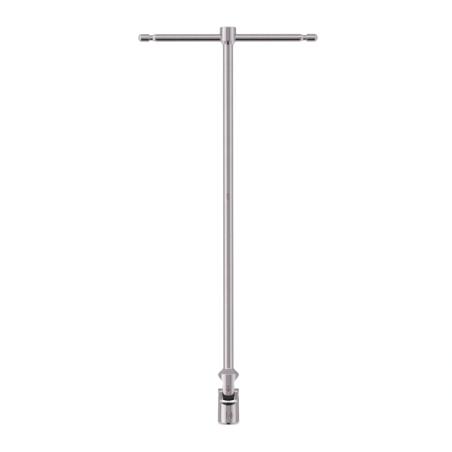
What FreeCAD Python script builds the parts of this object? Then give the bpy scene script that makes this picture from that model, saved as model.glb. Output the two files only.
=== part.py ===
"""T-handle universal-joint socket wrench: a parametric FreeCAD document.

The wrench stands upright: +Z runs up the shank, the origin is the centre of the socket's mouth face,
and the sliding cross bar lies along X.  Millimetres and degrees throughout.
Driving sizes live in the sheet "Sizes"; every sketch and feature is bound to them by expressions.
"""

import FreeCAD, Part
import math
import os

import Sketcher

# alias, value, what it measures
SIZES = (
    ("bar_dia", 8.0, "cross bar, main diameter"),
    ("bar_length", 180.6, "cross bar, end to end"),
    ("knob_dia", 8.1, "knob at each end of the bar"),
    ("knob_length", 11.0, "knob, shoulder to tip"),
    ("knob_round", 3.3, "round of the knob's tip"),
    ("neck_dia", 5.8, "bottom of the detent groove"),
    ("neck_length", 3.6, "straight bottom of the detent groove"),
    ("ramp_length", 4.2, "convex ramp from the groove up to the bar"),
    ("ramp_round", 9.0, "radius of the ramp's convex outline"),
    ("bar_height", 388.9, "bar axis above the socket's mouth"),
    ("bar_clearance", 0.1, "radial gap between bar and head"),
    ("head_dia", 16.6, "head, main diameter"),
    ("head_top", 10.6, "head's top face above the bar axis"),
    ("head_cone_top", 3.7, "head's cone starts this far below the bar axis"),
    ("head_cone_length", 3.2, "height of the head's cone"),
    ("head_foot", 14.4, "head's lower end below the bar axis"),
    ("neck_round", 4.0, "round between the cone and the shank"),
    ("edge_round", 0.8, "round of the head's top edge and of the upper fork's shoulder"),
    ("shank_dia", 10.4, "shank"),
    ("spigot_dia", 7.0, "shank's turned-down ends"),
    ("spigot_length", 6.0, "length of each turned-down end"),
    ("ball_dia", 3.0, "detent ball"),
    ("ball_bore", 3.2, "bore that guides the ball and its spring"),
    ("ball_gap", 0.05, "running gap between ball and bar"),
    ("wire_dia", 0.4, "detent spring wire"),
    ("coil_radius", 1.15, "detent spring, mean radius"),
    ("coil_pitch", 0.62, "detent spring, rise per turn"),
    ("coil_rise", 1.86, "detent spring, rise of the wire's centre line"),
    ("plug_dia", 4.4, "plug over the detent bore"),
    ("plug_depth", 1.4, "plug, depth in the head"),
    ("plug_dome", 0.5, "plug, height of its dome above the head"),
    ("fork_dia", 21.0, "outside of both forks"),
    ("slot_width", 12.0, "slot between the two ears of a fork"),
    ("slot_reach", 7.5, "pin axis to the slot's flat floor"),
    ("ear_width", 11.8, "ear at the root of its flats"),
    ("ear_tip_width", 11.0, "ear near its tip"),
    ("ear_reach", 6.0, "pin axis to the ear's tip"),
    ("ear_round", 4.0, "round of the ear's corners"),
    ("yoke_ramp_start", 7.2, "upper fork: pin axis to the inner edge of the ramp"),
    ("yoke_ramp_end", 13.0, "upper fork: pin axis to the outer edge of the ramp"),
    ("yoke_cone_start", 15.0, "upper fork: pin axis to the full diameter"),
    ("yoke_cone_end", 20.3, "upper fork: pin axis to the thin end of the cone"),
    ("yoke_top", 21.4, "upper fork: pin axis to the joint with the shank"),
    ("socket_ramp_start", 5.2, "lower fork: pin axis to the inner edge of the ramp"),
    ("socket_knee", 7.6, "lower fork: pin axis to the knee of the ramp"),
    ("socket_knee_width", 12.8, "lower fork: across the knees of its two ramps"),
    ("socket_ramp_end", 10.4, "lower fork: pin axis to the outer edge of the ramp"),
    ("socket_dia", 21.5, "socket body at its mouth"),
    ("socket_straight", 8.0, "length of the socket's full diameter"),
    ("socket_taper_end", 20.0, "height where the socket has the fork's diameter"),
    ("mouth_round", 1.6, "round of the socket's lower outer edge"),
    ("pin_height", 29.8, "lower pin axis above the socket's mouth"),
    ("pin_offset", 5.8, "distance between the two crossing pins"),
    ("pin_dia", 5.2, "both joint pins"),
    ("pin_length", 20.4, "both joint pins, end to end"),
    ("pin_edge", 0.3, "chamfer of the pins' ends"),
    ("pin_clearance", 0.05, "radial gap between a pin and the block"),
    ("pin_sink", 0.4, "countersink at the mouth of each pin hole"),
    ("block_width", 11.8, "joint block across its flats"),
    ("block_reach", 6.9, "pin axis to the block's crown"),
    ("block_edge_reach", 5.7, "pin axis to the crown's outer edges"),
    ("crown_flat", 4.0, "straight middle of the block's crown"),
    ("hex_flats", 14.1, "hex hole across its flats"),
    ("hex_depth", 13.0, "hex hole"),
    ("mouth_bevel_dia", 17.2, "lead-in bevel at the mouth of the hex hole"),
    ("stud_bore_dia", 12.6, "clearance bore above the hex hole"),
    ("stud_bore_end", 17.0, "clearance bore's end above the socket's mouth"),
)
CUT_MARGIN = 3.0  # how far a cutting outline runs past the solid that it cuts

doc = FreeCAD.newDocument("joint_wrench")


def fill_sheet():
    """The sheet of driving sizes: name, value and meaning in each row."""
    sheet = doc.addObject("Spreadsheet::Sheet", "Sizes")
    for row, (alias, value, meaning) in enumerate(SIZES, start=1):
        sheet.set(f"A{row}", alias)
        sheet.set(f"B{row}", str(value))
        sheet.setAlias(f"B{row}", alias)
        sheet.set(f"C{row}", meaning)
    doc.recompute()
    return sheet


def size(alias):
    """An expression that reads one cell of the sheet."""
    return f"Sizes.{alias}"


def half(alias):
    """An expression for half of a size."""
    return f"Sizes.{alias} / 2"


def new_body(label, height="0"):
    """An empty body whose own origin stands on the Z axis at the height that the expression gives."""
    body = doc.addObject("PartDesign::Body", label)
    body.Label = label
    body.setExpression("Placement.Base.z", height)
    return body


def plane_of(body, role):
    """One of the body's own origin planes."""
    return next(feature for feature in body.Origin.OriginFeatures if feature.Role == role)


def sketch_on(body, role, name, raised="0"):
    """An empty sketch on an origin plane, raised along the sketch's own Y by an expression."""
    sketch = body.newObject("Sketcher::SketchObject", name)
    sketch.AttachmentSupport = [(plane_of(body, role), "")]
    sketch.MapMode = "FlatFace"
    sketch.setExpression("AttachmentOffset.Base.y", raised)
    return sketch


def tie(sketch, geometry, point, x, y):
    """Ties a point of the sketch to the place (x, y), two expressions."""
    for kind, axis, expression in (("DistanceX", -2, x), ("DistanceY", -1, y)):
        value = sketch.evalExpression(expression)
        if abs(value) < 1e-9:
            sketch.addConstraint(Sketcher.Constraint("PointOnObject", geometry, point, axis))
            continue
        index = sketch.addConstraint(Sketcher.Constraint(kind, -1, 1, geometry, point, value))
        sketch.setExpression(f"Constraints[{index}]", expression)


def arc_between(start, end, radius):
    """The shorter arc from start to end: anticlockwise for a positive radius, clockwise for a negative one."""
    chord = end - start
    normal = FreeCAD.Vector(-chord.y, chord.x, 0).normalize()
    rise = math.sqrt(radius**2 - chord.Length**2 / 4)
    centre = (start + end) / 2 + normal * math.copysign(rise, radius)
    first, last = (start, end) if radius > 0 else (end, start)
    angles = [math.atan2(point.y - centre.y, point.x - centre.x) for point in (first, last)]
    if angles[1] < angles[0]:
        angles[1] += 2 * math.pi
    return Part.ArcOfCircle(Part.Circle(centre, FreeCAD.Vector(0, 0, 1), abs(radius)), *angles)


def draw_outline(sketch, corners, arcs=None):
    """A closed outline through the corners, each a pair of expressions.

    arcs gives the stretches that are arcs: the number of the corner that the arc starts from, and an
    expression for its radius, negative where it runs clockwise.
    """
    arcs = arcs or {}
    points = [FreeCAD.Vector(sketch.evalExpression(x), sketch.evalExpression(y), 0) for x, y in corners]
    ends = []
    for index, start in enumerate(points):
        end = points[(index + 1) % len(points)]
        if index in arcs:
            radius = sketch.evalExpression(arcs[index])
            sketch.addGeometry(arc_between(start, end, radius))
            ends.append((1, 2) if radius > 0 else (2, 1))
        else:
            sketch.addGeometry(Part.LineSegment(start, end))
            ends.append((1, 2))
    for index, (first, last) in enumerate(ends):
        follower = (index + 1) % len(ends)
        sketch.addConstraint(Sketcher.Constraint("Coincident", index, last, follower, ends[follower][0]))
        tie(sketch, index, first, *corners[index])
    for index, radius in arcs.items():
        value = abs(sketch.evalExpression(radius))
        constraint = sketch.addConstraint(Sketcher.Constraint("Radius", index, value))
        sketch.setExpression(f"Constraints[{constraint}]", f"abs({radius})")


def draw_circle(sketch, x, y, radius):
    """A circle, its centre and radius given by expressions."""
    centre = FreeCAD.Vector(sketch.evalExpression(x), sketch.evalExpression(y), 0)
    value = sketch.evalExpression(radius)
    index = sketch.addGeometry(Part.Circle(centre, FreeCAD.Vector(0, 0, 1), value))
    tie(sketch, index, 3, x, y)
    constraint = sketch.addConstraint(Sketcher.Constraint("Radius", index, value))
    sketch.setExpression(f"Constraints[{constraint}]", radius)


def finish_feature(feature):
    """Recomputes the document and returns the feature."""
    doc.recompute()
    return feature


def turn(body, sketch, name, axis="V_Axis"):
    """A full revolution of the sketch about one of its own axes."""
    feature = body.newObject("PartDesign::Revolution", name)
    feature.Profile = sketch
    feature.ReferenceAxis = (sketch, [axis])
    feature.Angle = 360
    return finish_feature(feature)


def groove(body, sketch, name, axis="V_Axis", angle=360):
    """A turned cut about one of the sketch's own axes, centred on the sketch."""
    feature = body.newObject("PartDesign::Groove", name)
    feature.Profile = sketch
    feature.ReferenceAxis = (sketch, [axis])
    feature.Angle = angle
    feature.Midplane = angle < 360
    return finish_feature(feature)


def pocket(body, sketch, name, depth=None, reverse=False):
    """A cut through the whole body, or to a depth given by an expression."""
    feature = body.newObject("PartDesign::Pocket", name)
    feature.Profile = sketch
    if depth is None:
        feature.Type = "ThroughAll"
        feature.SideType = "Symmetric"
    else:
        feature.Type = "Length"
        feature.setExpression("Length", depth)
        feature.Reversed = reverse
    return finish_feature(feature)


def mirror(body, feature, role):
    """The same feature again on the other side of an origin plane."""
    mirrored = body.newObject("PartDesign::Mirrored", feature.Name + "_mirrored")
    mirrored.Originals = [feature]
    mirrored.MirrorPlane = (plane_of(body, role), [""])
    body.Tip = mirrored
    return finish_feature(mirrored)


def edges_where(feature, test):
    """Names of the feature's edges that pass the test."""
    return [f"Edge{index}" for index, edge in enumerate(feature.Shape.Edges, start=1) if test(edge)]


def break_edges(body, base, name, test, alias, kind="Fillet"):
    """Rounds (Fillet) or bevels (Chamfer) the edges of the base feature that pass the test."""
    feature = body.newObject("PartDesign::" + kind, name)
    feature.Base = (base, edges_where(base, test))
    feature.setExpression("Radius" if kind == "Fillet" else "Size", size(alias))
    return finish_feature(feature)


def is_circle(edge, radius, height):
    """True for a circular edge of this radius, lying level at this height."""
    curve = edge.Curve
    level = isinstance(curve, Part.Circle) and abs(abs(curve.Axis.z) - 1) < 1e-6
    return level and abs(curve.Radius - radius) < 1e-4 and abs(curve.Center.z - height) < 1e-4


def build_tee_bar():
    """Cross bar: a round rod with a detent groove and a bullet-shaped knob at each end."""
    body = new_body("tee_bar", size("bar_height"))
    sketch = sketch_on(body, "XZ_Plane", "bar_outline")
    tip = half("bar_length")
    shoulder = f"{tip} - {size('knob_length')}"
    neck = f"{shoulder} - {size('neck_length')}"
    ramp = f"{neck} - {size('ramp_length')}"
    corners = [
        ("0", "0"),
        (tip, "0"),
        (tip, f"{half('knob_dia')} - {size('knob_round')}"),
        (f"{tip} - {size('knob_round')}", half("knob_dia")),
        (shoulder, half("knob_dia")),
        (shoulder, half("neck_dia")),
        (neck, half("neck_dia")),
        (ramp, half("bar_dia")),
        ("0", half("bar_dia")),
    ]
    draw_outline(sketch, corners, {2: size("knob_round"), 6: size("ramp_round")})
    mirror(body, turn(body, sketch, "half_bar", "H_Axis"), "YZ_Plane")
    return body


def build_head():
    """Head: a cross-bored cylinder that tapers down to the shank, with the detent's bore in its top."""
    body = new_body("head", size("bar_height"))
    outline = sketch_on(body, "XZ_Plane", "head_outline")
    cone_end = f"-{size('head_cone_top')} - {size('head_cone_length')}"
    corners = [
        ("0", f"-{size('head_foot')}"),
        (half("shank_dia"), f"-{size('head_foot')}"),
        (half("shank_dia"), cone_end),
        (half("head_dia"), f"-{size('head_cone_top')}"),
        (half("head_dia"), size("head_top")),
        ("0", size("head_top")),
    ]
    draw_outline(outline, corners)
    solid = turn(body, outline, "turned_head")
    waist = sketch_value("-head_cone_top - head_cone_length")
    solid = break_edges(
        body, solid, "waist_round", lambda edge: is_circle(edge, sheet.shank_dia / 2, waist), "neck_round"
    )
    break_edges(
        body, solid, "top_round", lambda edge: is_circle(edge, sheet.head_dia / 2, sheet.head_top), "edge_round"
    )
    bar_hole = sketch_on(body, "YZ_Plane", "bar_hole")
    draw_circle(bar_hole, "0", "0", f"{half('bar_dia')} + {size('bar_clearance')}")
    pocket(body, bar_hole, "cross_bore")
    detent = sketch_on(body, "XZ_Plane", "detent_bore_outline")
    step = f"{size('head_top')} - {size('plug_depth')}"
    corners = [
        ("0", "0"),
        (half("ball_bore"), "0"),
        (half("ball_bore"), step),
        (half("plug_dia"), step),
        (half("plug_dia"), f"{size('head_top')} + {CUT_MARGIN}"),
        ("0", f"{size('head_top')} + {CUT_MARGIN}"),
    ]
    draw_outline(detent, corners)
    groove(body, detent, "detent_bore")
    spigot = sketch_on(body, "XZ_Plane", "spigot_hole_outline")
    corners = [
        ("0", f"-{size('head_foot')} - {CUT_MARGIN}"),
        (half("spigot_dia"), f"-{size('head_foot')} - {CUT_MARGIN}"),
        (half("spigot_dia"), f"-{size('head_foot')} + {size('spigot_length')}"),
        ("0", f"-{size('head_foot')} + {size('spigot_length')}"),
    ]
    draw_outline(spigot, corners)
    groove(body, spigot, "spigot_hole")
    return body


def sketch_value(words):
    """The number that a sum of aliases has, such as "pin_height + pin_offset"."""
    terms = words.replace("-", "+-").split("+")
    total = 0.0
    for term in (term.strip() for term in terms):
        if term:
            sign = -1 if term.startswith("-") else 1
            total += sign * getattr(sheet, term.lstrip("- "))
    return total


def build_shank():
    """Shank: a round rod, turned down at both ends to sit in the head and in the upper fork."""
    foot = f"{size('pin_height')} + {size('pin_offset')} + {size('yoke_top')}"
    body = new_body("shank", foot)
    outline = sketch_on(body, "XZ_Plane", "shank_outline")
    top = f"{size('bar_height')} - {size('head_foot')} - ({foot})"
    corners = [
        ("0", f"-{size('spigot_length')}"),
        (half("spigot_dia"), f"-{size('spigot_length')}"),
        (half("spigot_dia"), "0"),
        (half("shank_dia"), "0"),
        (half("shank_dia"), top),
        (half("spigot_dia"), top),
        (half("spigot_dia"), f"{top} + {size('spigot_length')}"),
        ("0", f"{top} + {size('spigot_length')}"),
    ]
    draw_outline(outline, corners)
    turn(body, outline, "turned_shank")
    return body


def cut_fork(body, across, along, pin_at, up, ramp):
    """Cuts a turned blank into a fork: slot, flats with their ramps, tip rounds and pin hole.

    ramp lists the corners of a ramp from the flat outwards, each half its width and its distance from
    the pin; the last two give the direction in which it runs on past the solid.

    across is the plane that shows the slot's width and along the one that shows the ears' flats.
    pin_at is the pin's height, an expression.  up is 1 where the ears point up and -1 where they point down.
    """
    sign = "" if up > 0 else "-"
    anti = "-" if up > 0 else ""

    def level(distance, side=sign):
        """Height at a distance from the pin, on the tips' side or, with the other sign, on the root's."""
        return f"{pin_at} + ({side}({distance}))"

    past_tip = f"{size('ear_reach')} + {CUT_MARGIN}"
    slot = sketch_on(body, across, body.Label + "_slot_outline")
    corners = [
        (f"-{half('slot_width')}", level(size("slot_reach"), anti)),
        (half("slot_width"), level(size("slot_reach"), anti)),
        (half("slot_width"), level(past_tip)),
        (f"-{half('slot_width')}", level(past_tip)),
    ]
    draw_outline(slot, corners)
    pocket(body, slot, body.Label + "_slot")

    flats = sketch_on(body, along, body.Label + "_flat_outline")
    outside = f"{half('fork_dia')} + {CUT_MARGIN}"
    (inner, near), (outer, far) = ramp[-2:]
    slope = f"({far} - {near}) / ({outer} - {inner})"
    tip_flat = f"{half('ear_tip_width')} - {size('ear_round')}"
    corners = [(width, level(distance, anti)) for width, distance in ramp[:-1]]
    corners += [
        (outside, level(f"{far} + {slope} * {CUT_MARGIN}", anti)),
        (outside, level(past_tip)),
        (tip_flat, level(past_tip)),
        (tip_flat, level(size("ear_reach"))),
        (half("ear_tip_width"), level(f"{size('ear_reach')} - {size('ear_round')}")),
    ]
    draw_outline(flats, corners, {len(corners) - 2: anti + size("ear_round")})
    side = pocket(body, flats, body.Label + "_flat")
    mirror(body, side, "YZ_Plane" if along == "XZ_Plane" else "XZ_Plane")

    hole = sketch_on(body, along, body.Label + "_pin_hole_outline")
    draw_circle(hole, "0", pin_at, half("pin_dia"))
    pocket(body, hole, body.Label + "_pin_hole")


def sink_pin_hole(body, role, pin_at, name):
    """Countersinks the two outer mouths of a fork's pin hole."""
    sketch = sketch_on(body, role, name + "_outline", pin_at)
    outer = f"{half('fork_dia')} + {size('pin_sink')}"
    inner = f"{half('fork_dia')} - {size('pin_sink')} * 2"
    corners = [
        (inner, "0"),
        (outer, "0"),
        (outer, f"{half('pin_dia')} + {size('pin_sink')}"),
        (inner, f"{half('pin_dia')} - {size('pin_sink')} / 8"),
    ]
    draw_outline(sketch, corners)
    mirror(body, groove(body, sketch, name, "H_Axis"), "YZ_Plane" if role == "XZ_Plane" else "XZ_Plane")


def build_upper_yoke():
    """Upper fork: its ears point down, front and back, and its cone runs up into the shank."""
    body = new_body("upper_yoke", f"{size('pin_height')} + {size('pin_offset')}")
    outline = sketch_on(body, "XZ_Plane", "yoke_outline")
    corners = [
        ("0", f"-{size('ear_reach')}"),
        (half("fork_dia"), f"-{size('ear_reach')}"),
        (half("fork_dia"), size("yoke_cone_start")),
        (half("shank_dia"), size("yoke_cone_end")),
        (half("shank_dia"), size("yoke_top")),
        ("0", size("yoke_top")),
    ]
    draw_outline(outline, corners)
    turned = turn(body, outline, "turned_yoke")
    break_edges(
        body, turned, "yoke_shoulder_round",
        lambda edge: is_circle(edge, sheet.fork_dia / 2, sheet.yoke_cone_start), "edge_round",
    )
    spigot = sketch_on(body, "XZ_Plane", "yoke_spigot_outline")
    corners = [
        ("0", f"{size('yoke_top')} - {size('spigot_length')}"),
        (half("spigot_dia"), f"{size('yoke_top')} - {size('spigot_length')}"),
        (half("spigot_dia"), f"{size('yoke_top')} + {CUT_MARGIN}"),
        ("0", f"{size('yoke_top')} + {CUT_MARGIN}"),
    ]
    draw_outline(spigot, corners)
    groove(body, spigot, "yoke_spigot_hole")
    ramp = [(half("ear_width"), size("yoke_ramp_start")), (half("fork_dia"), size("yoke_ramp_end"))]
    cut_fork(body, "YZ_Plane", "XZ_Plane", "0", -1, ramp)
    sink_pin_hole(body, "YZ_Plane", "0", "yoke_pin_sink")
    return body


def build_socket():
    """Socket: a round body with a hex hole below and a fork of its own above, its ears left and right."""
    body = new_body("socket")
    outline = sketch_on(body, "XZ_Plane", "socket_outline")
    tip = f"{size('pin_height')} + {size('ear_reach')}"
    corners = [
        ("0", "0"),
        (half("socket_dia"), "0"),
        (half("socket_dia"), size("socket_straight")),
        (half("fork_dia"), size("socket_taper_end")),
        (half("fork_dia"), tip),
        ("0", tip),
    ]
    draw_outline(outline, corners)
    turned = turn(body, outline, "turned_socket")
    break_edges(
        body, turned, "mouth_edge_round", lambda edge: is_circle(edge, sheet.socket_dia / 2, 0), "mouth_round"
    )
    ramp = [
        (half("ear_width"), size("socket_ramp_start")),
        (half("socket_knee_width"), size("socket_knee")),
        (half("fork_dia"), size("socket_ramp_end")),
    ]
    cut_fork(body, "XZ_Plane", "YZ_Plane", size("pin_height"), 1, ramp)
    sink_pin_hole(body, "XZ_Plane", size("pin_height"), "socket_pin_sink")
    bore = sketch_on(body, "XZ_Plane", "stud_bore_outline")
    bevel_rise = f"{half('mouth_bevel_dia')} - {half('stud_bore_dia')}"
    corners = [
        ("0", f"-{CUT_MARGIN}"),
        (f"{half('mouth_bevel_dia')} + {CUT_MARGIN}", f"-{CUT_MARGIN}"),
        (half("stud_bore_dia"), bevel_rise),
        (half("stud_bore_dia"), size("stud_bore_end")),
        ("0", f"{size('stud_bore_end')} + {half('stud_bore_dia')} / 3"),
    ]
    draw_outline(bore, corners)
    groove(body, bore, "stud_bore")
    hexagon = sketch_on(body, "XY_Plane", "hex_outline")
    corners = [
        (f"{size('hex_flats')} / sqrt(3) * {math.cos(math.radians(degrees))}",
         f"{size('hex_flats')} / sqrt(3) * {math.sin(math.radians(degrees))}")
        for degrees in range(0, 360, 60)
    ]
    draw_outline(hexagon, corners)
    pocket(body, hexagon, "hex_hole", size("hex_depth"), reverse=True)
    return body


def build_joint_block():
    """Joint block: a square block with two crossing holes, each crown swept about its own pin.

    The body's origin is the centre of the lower pin, which runs along X.
    """
    body = new_body("joint_block", size("pin_height"))
    square = sketch_on(body, "XZ_Plane", "block_front")
    side = half("block_width")
    top = f"{size('pin_offset')} + {size('block_reach')}"
    corners = [
        (f"-{side}", f"-{size('block_reach')}"),
        (side, f"-{size('block_reach')}"),
        (side, top),
        (f"-{side}", top),
    ]
    draw_outline(square, corners)
    block = body.newObject("PartDesign::Pad", "block_blank")
    block.Profile = square
    block.SideType = "Symmetric"
    block.setExpression("Length", size("block_width"))
    doc.recompute()

    wide = f"({side} + {CUT_MARGIN})"
    slope = f"({size('block_reach')} - {size('block_edge_reach')}) / ({side} - {half('crown_flat')})"
    edge = f"{size('block_edge_reach')} - {slope} * {CUT_MARGIN}"
    deep = f"{size('block_reach')} + {CUT_MARGIN}"
    for name, role, raised, sign in (
        ("lower_crown", "XZ_Plane", "0", "-"),
        ("upper_crown", "YZ_Plane", size("pin_offset"), ""),
    ):
        sketch = sketch_on(body, role, name + "_outline", raised)
        corners = [
            (f"-{wide}", f"{sign}({edge})"),
            (f"-{half('crown_flat')}", sign + size("block_reach")),
            (half("crown_flat"), sign + size("block_reach")),
            (wide, f"{sign}({edge})"),
            (wide, f"{sign}({deep})"),
            (f"-{wide}", f"{sign}({deep})"),
        ]
        draw_outline(sketch, corners)
        groove(body, sketch, name, "H_Axis", 180)
    for name, role, height in (
        ("lower_hole", "YZ_Plane", "0"),
        ("upper_hole", "XZ_Plane", size("pin_offset")),
    ):
        sketch = sketch_on(body, role, name + "_outline")
        draw_circle(sketch, "0", height, f"{half('pin_dia')} + {size('pin_clearance')}")
        pocket(body, sketch, name)
    return body


def build_pin(label, height, axis, angle):
    """A plain round pin with bevelled ends, laid over from Z by a turn about the given axis."""
    body = new_body(label, height)
    outline = sketch_on(body, "XZ_Plane", label + "_outline")
    end = half("pin_length")
    corners = [
        ("0", f"-{end}"),
        (f"{half('pin_dia')} - {size('pin_edge')}", f"-{end}"),
        (half("pin_dia"), f"-{end} + {size('pin_edge')}"),
        (half("pin_dia"), f"{end} - {size('pin_edge')}"),
        (f"{half('pin_dia')} - {size('pin_edge')}", end),
        ("0", end),
    ]
    draw_outline(outline, corners)
    turn(body, outline, label + "_turned")
    body.Placement.Rotation = FreeCAD.Rotation(axis, angle)
    return body


def build_detent_ball():
    """Ball that presses on the bar and drops into its end grooves."""
    ball = doc.addObject("Part::Sphere", "detent_ball")
    ball.Label = "detent_ball"
    ball.setExpression("Radius", half("ball_dia"))
    rest = f"{size('bar_height')} + {half('bar_dia')} + {size('ball_gap')} + {half('ball_dia')}"
    ball.setExpression("Placement.Base.z", rest)
    return ball


def build_detent_spring():
    """Open coil spring between the ball and the plug."""
    path = doc.addObject("Part::Helix", "spring_path")
    path.setExpression("Radius", size("coil_radius"))
    path.setExpression("Pitch", size("coil_pitch"))
    path.setExpression("Height", size("coil_rise"))
    wire = doc.addObject("Part::Circle", "spring_wire")
    wire.setExpression("Radius", half("wire_dia"))
    wire.setExpression("Placement.Base.x", size("coil_radius"))
    wire.Placement.Rotation = FreeCAD.Rotation(FreeCAD.Vector(1, 0, 0), 90)
    doc.recompute()
    coil = doc.addObject("Part::Sweep", "detent_spring")
    coil.Label = "detent_spring"
    coil.Sections = [wire]
    coil.Spine = (path, ["Edge1"])
    coil.Solid = True
    coil.Frenet = True
    top = f"{size('bar_height')} + {size('head_top')} - {size('plug_depth')}"
    coil.setExpression("Placement.Base.z", f"{top} - {half('wire_dia')} - {size('coil_rise')}")
    return coil


def build_detent_plug():
    """Domed plug pressed into the top of the head; its origin is in the head's top face."""
    body = new_body("detent_plug", f"{size('bar_height')} + {size('head_top')}")
    outline = sketch_on(body, "XZ_Plane", "plug_outline")
    radius = half("plug_dia")
    dome = size("plug_dome")
    corners = [
        ("0", f"-{size('plug_depth')}"),
        (radius, f"-{size('plug_depth')}"),
        (radius, "0"),
        ("0", dome),
    ]
    sphere = f"(pow({radius}; 2) + pow({dome}; 2)) / (2 * {dome})"
    draw_outline(outline, corners, {2: sphere})
    turn(body, outline, "turned_plug")
    return body


def check_and_write(pieces):
    """Stops if anything in the document failed; otherwise writes each piece to parts/LABEL.step."""
    doc.recompute()
    failed = [item.Label for item in doc.Objects if {"Invalid", "Error"} & set(item.State)]
    for piece in pieces:
        if piece.Shape.isNull() or not piece.Shape.isValid() or len(piece.Shape.Solids) != 1:
            failed.append(piece.Label)
    if failed:
        raise RuntimeError(f"failed: {failed}")
    os.makedirs("parts", exist_ok=True)
    for piece in pieces:
        piece.Shape.exportStep(f"parts/{piece.Label}.step")
        box = piece.Shape.BoundBox
        print(f"{piece.Label:14s} {piece.Shape.Volume:10.1f} mm3  z {box.ZMin:8.2f} to {box.ZMax:8.2f}")


sheet = fill_sheet()
check_and_write([
    build_socket(),
    build_pin("socket_pin", size("pin_height"), FreeCAD.Vector(0, 1, 0), 90),
    build_joint_block(),
    build_pin("yoke_pin", f"{size('pin_height')} + {size('pin_offset')}", FreeCAD.Vector(1, 0, 0), 90),
    build_upper_yoke(),
    build_shank(),
    build_head(),
    build_tee_bar(),
    build_detent_ball(),
    build_detent_spring(),
    build_detent_plug(),
])
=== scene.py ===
"""Looks of the T-handle universal-joint socket wrench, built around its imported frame.

Metres, in the frame's own axes: +Z up the shank, X along the cross bar.  Each sub-assembly is a class
that holds its sizes in millimetres, builds its meshes and dresses them; each finish is a class too.
"""

import logging
import math
from dataclasses import dataclass, field
from enum import Enum
from typing import Callable, Optional, Sequence

import bmesh
import bpy
from mathutils import Matrix, Vector


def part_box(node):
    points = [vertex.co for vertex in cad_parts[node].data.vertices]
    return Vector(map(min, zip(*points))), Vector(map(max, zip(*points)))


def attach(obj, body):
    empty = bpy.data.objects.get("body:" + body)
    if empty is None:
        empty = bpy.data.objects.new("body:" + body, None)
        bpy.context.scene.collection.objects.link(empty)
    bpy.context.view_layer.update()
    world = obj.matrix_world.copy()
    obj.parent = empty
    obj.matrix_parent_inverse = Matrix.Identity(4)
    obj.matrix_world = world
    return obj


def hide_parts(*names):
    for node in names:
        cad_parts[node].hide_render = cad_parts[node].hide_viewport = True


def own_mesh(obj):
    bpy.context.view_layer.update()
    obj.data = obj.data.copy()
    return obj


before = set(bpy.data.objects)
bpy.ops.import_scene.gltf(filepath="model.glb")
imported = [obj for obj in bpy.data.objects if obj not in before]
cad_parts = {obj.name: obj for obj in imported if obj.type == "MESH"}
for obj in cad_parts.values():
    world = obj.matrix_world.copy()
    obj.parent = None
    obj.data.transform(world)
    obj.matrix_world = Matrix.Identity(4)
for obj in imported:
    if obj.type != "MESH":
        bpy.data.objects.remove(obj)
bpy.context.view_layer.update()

LOG = logging.getLogger("joint_wrench")
MM = 0.001  # one millimetre, in metres
TURN = 2 * math.pi
DRILL_REACH = 15  # mm from the middle to each end of a drill, clear of every fork
CUTTER_LENGTH = 40  # mm, a prism that passes right through a fork
CAPITAL_SHARE = 0.7  # height of a capital as a share of the type size
MARK_RISE = 0.02  # mm that a mark stands proud
FLAT_WEIGHT = 80  # how strongly a large flat sets the shading along its edges

Point = tuple[float, float]
Corner = tuple[float, float, float]  # two coordinates and the radius of the round there, all in mm


class Axis(Enum):
    """Which way a turned piece's own axis points, as the rotation that lays +Z along it."""

    X = Matrix.Rotation(math.radians(90), 4, "Y")
    Y = Matrix.Rotation(math.radians(-90), 4, "X")
    Z = Matrix.Identity(4)


class Body(str, Enum):
    """The rigid bodies of the frame."""

    HANDLE = "handle"
    CROSS_BAR = "cross_bar"
    BALL = "ball"
    BLOCK = "block"
    DRIVE = "drive"


class Slot(str, Enum):
    """The record's material slots."""

    BODY = "chrome_body"
    BAR = "chrome_bar"
    BLACK = "black_oxide"
    STEEL = "bare_steel"


# ---------------------------------------------------------------- outlines


def arc(centre: Point, radius: float, start: float, end: float, steps: int = 10) -> list[Point]:
    """Points along an arc.

    Args:
        centre: middle of the arc.
        radius: its radius.
        start: angle of the first point, in degrees.
        end: angle of the last point, in degrees.
        steps: number of chords.

    Returns:
        The points, both ends included.
    """
    angles = [math.radians(start + (end - start) * i / steps) for i in range(steps + 1)]
    return [(centre[0] + radius * math.cos(a), centre[1] + radius * math.sin(a)) for a in angles]


def softened(corners: Sequence[Corner], steps: int = 7) -> list[Point]:
    """An outline whose corners are replaced by tangent rounds.

    Args:
        corners: the corners in order; the first and the last stay sharp.
        steps: number of chords in each round.

    Returns:
        The points of the outline.
    """
    points = [corners[0][:2]]
    for before, corner, after in zip(corners, corners[1:], corners[2:]):
        here = Vector(corner[:2])
        back = (Vector(before[:2]) - here).normalized()
        ahead = (Vector(after[:2]) - here).normalized()
        opening = back.angle(ahead)
        if corner[2] <= 0 or opening > math.radians(179):
            points.append(corner[:2])
            continue
        reach = corner[2] / math.tan(opening / 2)
        middle = here + (back + ahead).normalized() * corner[2] / math.sin(opening / 2)
        first, last = here + back * reach - middle, here + ahead * reach - middle
        swing = first.angle_signed(last)
        for i in range(steps + 1):
            points.append(tuple(middle + Matrix.Rotation(-swing * i / steps, 2) @ first))
    points.append(corners[-1][:2])
    return points


def through_drill(radius: float, reach: float) -> list[Point]:
    """Outline of a plain drill that runs the reach to each side of its centre, in mm."""
    return [(0, -reach), (radius, -reach), (radius, reach), (0, reach)]


# ---------------------------------------------------------------- meshes


def new_piece(name: str, mesh: bpy.types.Mesh) -> bpy.types.Object:
    """An object of the mesh, linked to the scene, at the frame's origin."""
    piece = bpy.data.objects.new(name, mesh)
    bpy.context.scene.collection.objects.link(piece)
    return piece


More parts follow.
